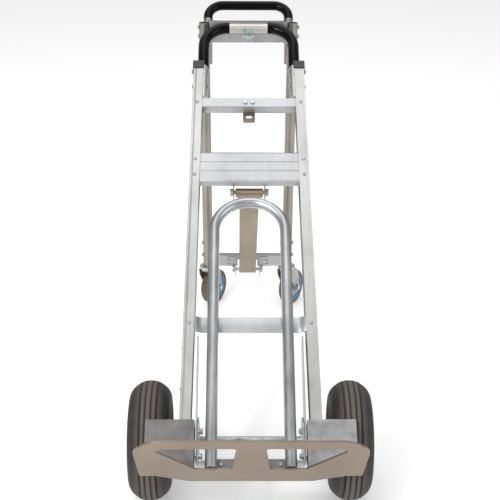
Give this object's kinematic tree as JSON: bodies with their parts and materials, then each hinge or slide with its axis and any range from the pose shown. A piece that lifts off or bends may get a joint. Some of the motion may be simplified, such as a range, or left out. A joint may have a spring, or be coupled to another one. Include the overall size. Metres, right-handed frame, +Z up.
{
  "type": "convertible hand truck",
  "caption": "Aluminium convertible hand truck leaning in its four-wheel assist mode, with pneumatic main wheels and swivel casters on a folding rear frame.",
  "frame": {"origin": "centre of the bounding box in X and Y, at floor level, with the truck leaning in its four-wheel assist mode", "axes": "+X to the right seen from the toe plate's end, +Y to the back from the toe plate towards the handles, +Z up from the floor"},
  "size_m": [0.532, 1.2926, 0.8661],
  "materials": {
    "axle": "satin",
    "base_angle": "satin",
    "brace": "satin",
    "brace_bottom_bolt": "satin",
    "brace_clevis": "satin",
    "brace_top_bolt": "satin",
    "catch_bracket": "satin",
    "crossbar_bolt_left": "satin",
    "crossbar_bolt_right": "satin",
    "latch_bracket": "satin",
    "latch_plunger": "satin",
    "latch_ring": "satin",
    "left_axle_bracket": "satin",
    "left_axle_collar": "satin",
    "left_bearing": "satin",
    "left_brace_lug": "satin",
    "left_caster_axle": "satin",
    "left_caster_core": "satin",
    "left_caster_fork": "satin",
    "left_caster_stem": "satin",
    "left_caster_tread": "matte",
    "left_grip": "gloss",
    "left_handle_bolt_1": "satin",
    "left_handle_bolt_2": "satin",
    "left_rail": "satin",
    "left_rail_cap": "matte",
    "left_rear_leg": "satin",
    "left_rim": "satin",
    "left_side_plate": "satin",
    "left_tyre": "matte",
    "left_wheel_guard": "satin",
    "load_hoop": "satin",
    "lower_strap": "satin",
    "main_handle": "satin",
    "rear_grip": "gloss",
    "rear_handle": "satin",
    "rear_lower_beam": "satin",
    "rear_upper_beam": "satin",
    "right_axle_bracket": "satin",
    "right_axle_collar": "satin",
    "right_bearing": "satin",
    "right_brace_lug": "satin",
    "right_caster_axle": "satin",
    "right_caster_core": "satin",
    "right_caster_fork": "satin",
    "right_caster_stem": "satin",
    "right_caster_tread": "matte",
    "right_grip": "gloss",
    "right_handle_bolt_1": "satin",
    "right_handle_bolt_2": "satin",
    "right_rail": "satin",
    "right_rail_cap": "matte",
    "right_rear_leg": "satin",
    "right_rim": "satin",
    "right_side_plate": "satin",
    "right_tyre": "matte",
    "right_wheel_guard": "satin",
    "step": "satin",
    "toe_plate": "satin",
    "upper_crossbar": "satin"
  },
  "bodies": {
    "main_frame": {"left_rail": "left_rail", "right_rail": "right_rail", "left_rail_cap": "left_rail_cap", "right_rail_cap": "right_rail_cap", "main_handle": "main_handle", "left_grip": "left_grip", "right_grip": "right_grip", "upper_crossbar": "upper_crossbar", "crossbar_bolt_left": "crossbar_bolt_left", "crossbar_bolt_right": "crossbar_bolt_right", "catch_bracket": "catch_bracket", "step": "step", "brace_clevis": "brace_clevis", "brace_top_bolt": "brace_top_bolt", "lower_strap": "lower_strap", "load_hoop": "load_hoop", "toe_plate": "toe_plate", "left_wheel_guard": "left_wheel_guard", "right_wheel_guard": "right_wheel_guard", "left_side_plate": "left_side_plate", "right_side_plate": "right_side_plate", "left_axle_bracket": "left_axle_bracket", "right_axle_bracket": "right_axle_bracket", "axle": "axle", "left_axle_collar": "left_axle_collar", "right_axle_collar": "right_axle_collar", "base_angle": "base_angle", "latch_bracket": "latch_bracket", "left_handle_bolt_1": "left_handle_bolt_1", "left_handle_bolt_2": "left_handle_bolt_2", "right_handle_bolt_1": "right_handle_bolt_1", "right_handle_bolt_2": "right_handle_bolt_2"},
    "left_wheel": {"left_tyre": "left_tyre", "left_rim": "left_rim", "left_bearing": "left_bearing"},
    "right_wheel": {"right_tyre": "right_tyre", "right_rim": "right_rim", "right_bearing": "right_bearing"},
    "brace_arm": {"brace": "brace"},
    "rear_frame": {"left_rear_leg": "left_rear_leg", "right_rear_leg": "right_rear_leg", "rear_upper_beam": "rear_upper_beam", "rear_lower_beam": "rear_lower_beam", "rear_handle": "rear_handle", "rear_grip": "rear_grip", "left_brace_lug": "left_brace_lug", "right_brace_lug": "right_brace_lug", "brace_bottom_bolt": "brace_bottom_bolt", "left_caster_stem": "left_caster_stem", "right_caster_stem": "right_caster_stem"},
    "left_caster_swivel": {"left_caster_fork": "left_caster_fork", "left_caster_axle": "left_caster_axle"},
    "right_caster_swivel": {"right_caster_fork": "right_caster_fork", "right_caster_axle": "right_caster_axle"},
    "left_caster_wheel": {"left_caster_tread": "left_caster_tread", "left_caster_core": "left_caster_core"},
    "right_caster_wheel": {"right_caster_tread": "right_caster_tread", "right_caster_core": "right_caster_core"},
    "latch_pin": {"latch_plunger": "latch_plunger", "latch_ring": "latch_ring"}
  },
  "joints": [
    {"name": "left_wheel_spin", "type": "hinge", "parent": "main_frame", "child": "left_wheel", "pos_m": [-0.22, -0.39045, 0.13208], "axis": [1, 0, 0], "continuous": true},
    {"name": "right_wheel_spin", "type": "hinge", "parent": "main_frame", "child": "right_wheel", "pos_m": [0.22, -0.39045, 0.13208], "axis": [1, 0, 0], "continuous": true},
    {"name": "brace_fold", "type": "hinge", "parent": "main_frame", "child": "brace_arm", "pos_m": [0, 0.08177, 0.53022], "axis": [1, 0, 0], "range_deg": [-85, 72]},
    {"name": "rear_frame_fold", "type": "hinge", "parent": "brace_arm", "child": "rear_frame", "pos_m": [0, 0.47947, 0.12678], "axis": [1, 0, 0], "range_deg": [-34, 40]},
    {"name": "latch_slide", "type": "slide", "parent": "main_frame", "child": "latch_pin", "axis": [0, 0.9969, -0.0785], "range_m": [0, 0.012]},
    {"name": "left_caster_swivel_turn", "type": "hinge", "parent": "rear_frame", "child": "left_caster_swivel", "pos_m": [-0.1133, 0.50355, 0.12689], "axis": [0, 0.0785, 0.9969], "continuous": true},
    {"name": "left_caster_wheel_spin", "type": "hinge", "parent": "left_caster_swivel", "child": "left_caster_wheel", "pos_m": [-0.0983, 0.52363, 0.05088], "axis": [0.866, -0.4985, 0.0392], "continuous": true},
    {"name": "right_caster_swivel_turn", "type": "hinge", "parent": "rear_frame", "child": "right_caster_swivel", "pos_m": [0.1133, 0.50355, 0.12689], "axis": [0, 0.0785, 0.9969], "continuous": true},
    {"name": "right_caster_wheel_spin", "type": "hinge", "parent": "right_caster_swivel", "child": "right_caster_wheel", "pos_m": [0.1283, 0.52363, 0.05088], "axis": [0.866, -0.4985, 0.0392], "continuous": true}
  ],
  "couplings": [
    {"joint": "rear_frame_fold", "follows": "brace_fold", "ratio": -0.47}
  ]
}
